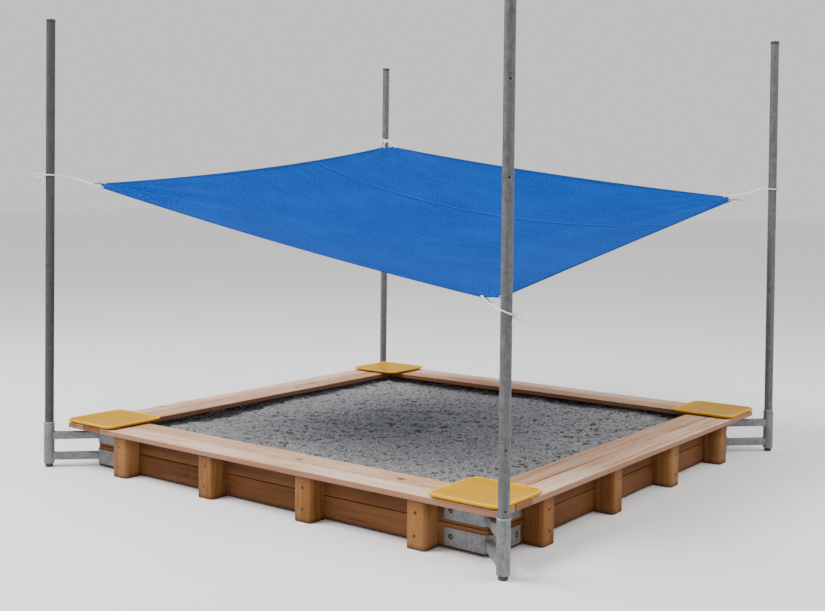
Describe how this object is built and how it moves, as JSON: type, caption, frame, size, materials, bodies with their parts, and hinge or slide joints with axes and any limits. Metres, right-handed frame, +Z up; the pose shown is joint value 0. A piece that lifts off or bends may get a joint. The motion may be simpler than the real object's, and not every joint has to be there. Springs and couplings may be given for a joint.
{
  "type": "sandbox with cover",
  "caption": "Square timber sandpit with a plank seat, corner brackets that hold masts, and a net sail tied above the sand.",
  "frame": {"origin": "on the ground, under the middle of the square sandpit", "axes": "+Z up; -Y to the front side and +X to the right side, both square to the seat's edges; the sail's lowest corner is at the front right"},
  "size_m": [3.028, 3.028, 2.4603],
  "materials": {
    "seat_timber": "matte",
    "wall_timber": "matte",
    "post_timber": "matte",
    "bracket_steel": "satin",
    "mast_steel": "satin",
    "plug_plastic": "matte",
    "tray_plastic": "gloss",
    "sail_net": "matte",
    "rope_fibre": "matte",
    "sand_filling": "matte"
  },
  "bodies": {
    "frame": {"seat_front_outer": "seat_timber", "seat_front_inner": "seat_timber", "wall_front_lower": "wall_timber", "wall_front_upper": "wall_timber", "post_front_1": "post_timber", "post_front_2": "post_timber", "post_front_3": "post_timber", "post_front_4": "post_timber", "seat_right_outer": "seat_timber", "seat_right_inner": "seat_timber", "wall_right_lower": "wall_timber", "wall_right_upper": "wall_timber", "post_right_1": "post_timber", "post_right_2": "post_timber", "post_right_3": "post_timber", "post_right_4": "post_timber", "seat_back_outer": "seat_timber", "seat_back_inner": "seat_timber", "wall_back_lower": "wall_timber", "wall_back_upper": "wall_timber", "post_back_1": "post_timber", "post_back_2": "post_timber", "post_back_3": "post_timber", "post_back_4": "post_timber", "seat_left_outer": "seat_timber", "seat_left_inner": "seat_timber", "wall_left_lower": "wall_timber", "wall_left_upper": "wall_timber", "post_left_1": "post_timber", "post_left_2": "post_timber", "post_left_3": "post_timber", "post_left_4": "post_timber", "bracket_front_right": "bracket_steel", "corner_tray_front_right": "tray_plastic", "bracket_front_left": "bracket_steel", "corner_tray_front_left": "tray_plastic", "bracket_back_right": "bracket_steel", "corner_tray_back_right": "tray_plastic", "bracket_back_left": "bracket_steel", "corner_tray_back_left": "tray_plastic", "sand": "sand_filling"},
    "front_right_mast": {"mast_front_right": "mast_steel", "mast_cap_front_right": "plug_plastic", "mast_foot_front_right": "plug_plastic"},
    "front_left_mast": {"mast_front_left": "mast_steel", "mast_cap_front_left": "plug_plastic", "mast_foot_front_left": "plug_plastic"},
    "back_right_mast": {"mast_back_right": "mast_steel", "mast_cap_back_right": "plug_plastic", "mast_foot_back_right": "plug_plastic"},
    "back_left_mast": {"mast_back_left": "mast_steel", "mast_cap_back_left": "plug_plastic", "mast_foot_back_left": "plug_plastic"},
    "cover": {"sail": "sail_net", "rope_front_right": "rope_fibre", "rope_front_left": "rope_fibre", "rope_back_right": "rope_fibre", "rope_back_left": "rope_fibre"}
  },
  "joints": [
    {"name": "front_right_mast_lift", "type": "slide", "parent": "frame", "child": "front_right_mast", "axis": [0, 0, 1], "range_m": [0, 0.22]},
    {"name": "front_left_mast_lift", "type": "slide", "parent": "frame", "child": "front_left_mast", "axis": [0, 0, 1], "range_m": [0, 0.22]},
    {"name": "back_right_mast_lift", "type": "slide", "parent": "frame", "child": "back_right_mast", "axis": [0, 0, 1], "range_m": [0, 0.22]},
    {"name": "back_left_mast_lift", "type": "slide", "parent": "frame", "child": "back_left_mast", "axis": [0, 0, 1], "range_m": [0, 0.22]},
    {"name": "cover_height", "type": "slide", "parent": "frame", "child": "cover", "axis": [0, 0, 1], "range_m": [-0.78, 0.45]}
  ]
}
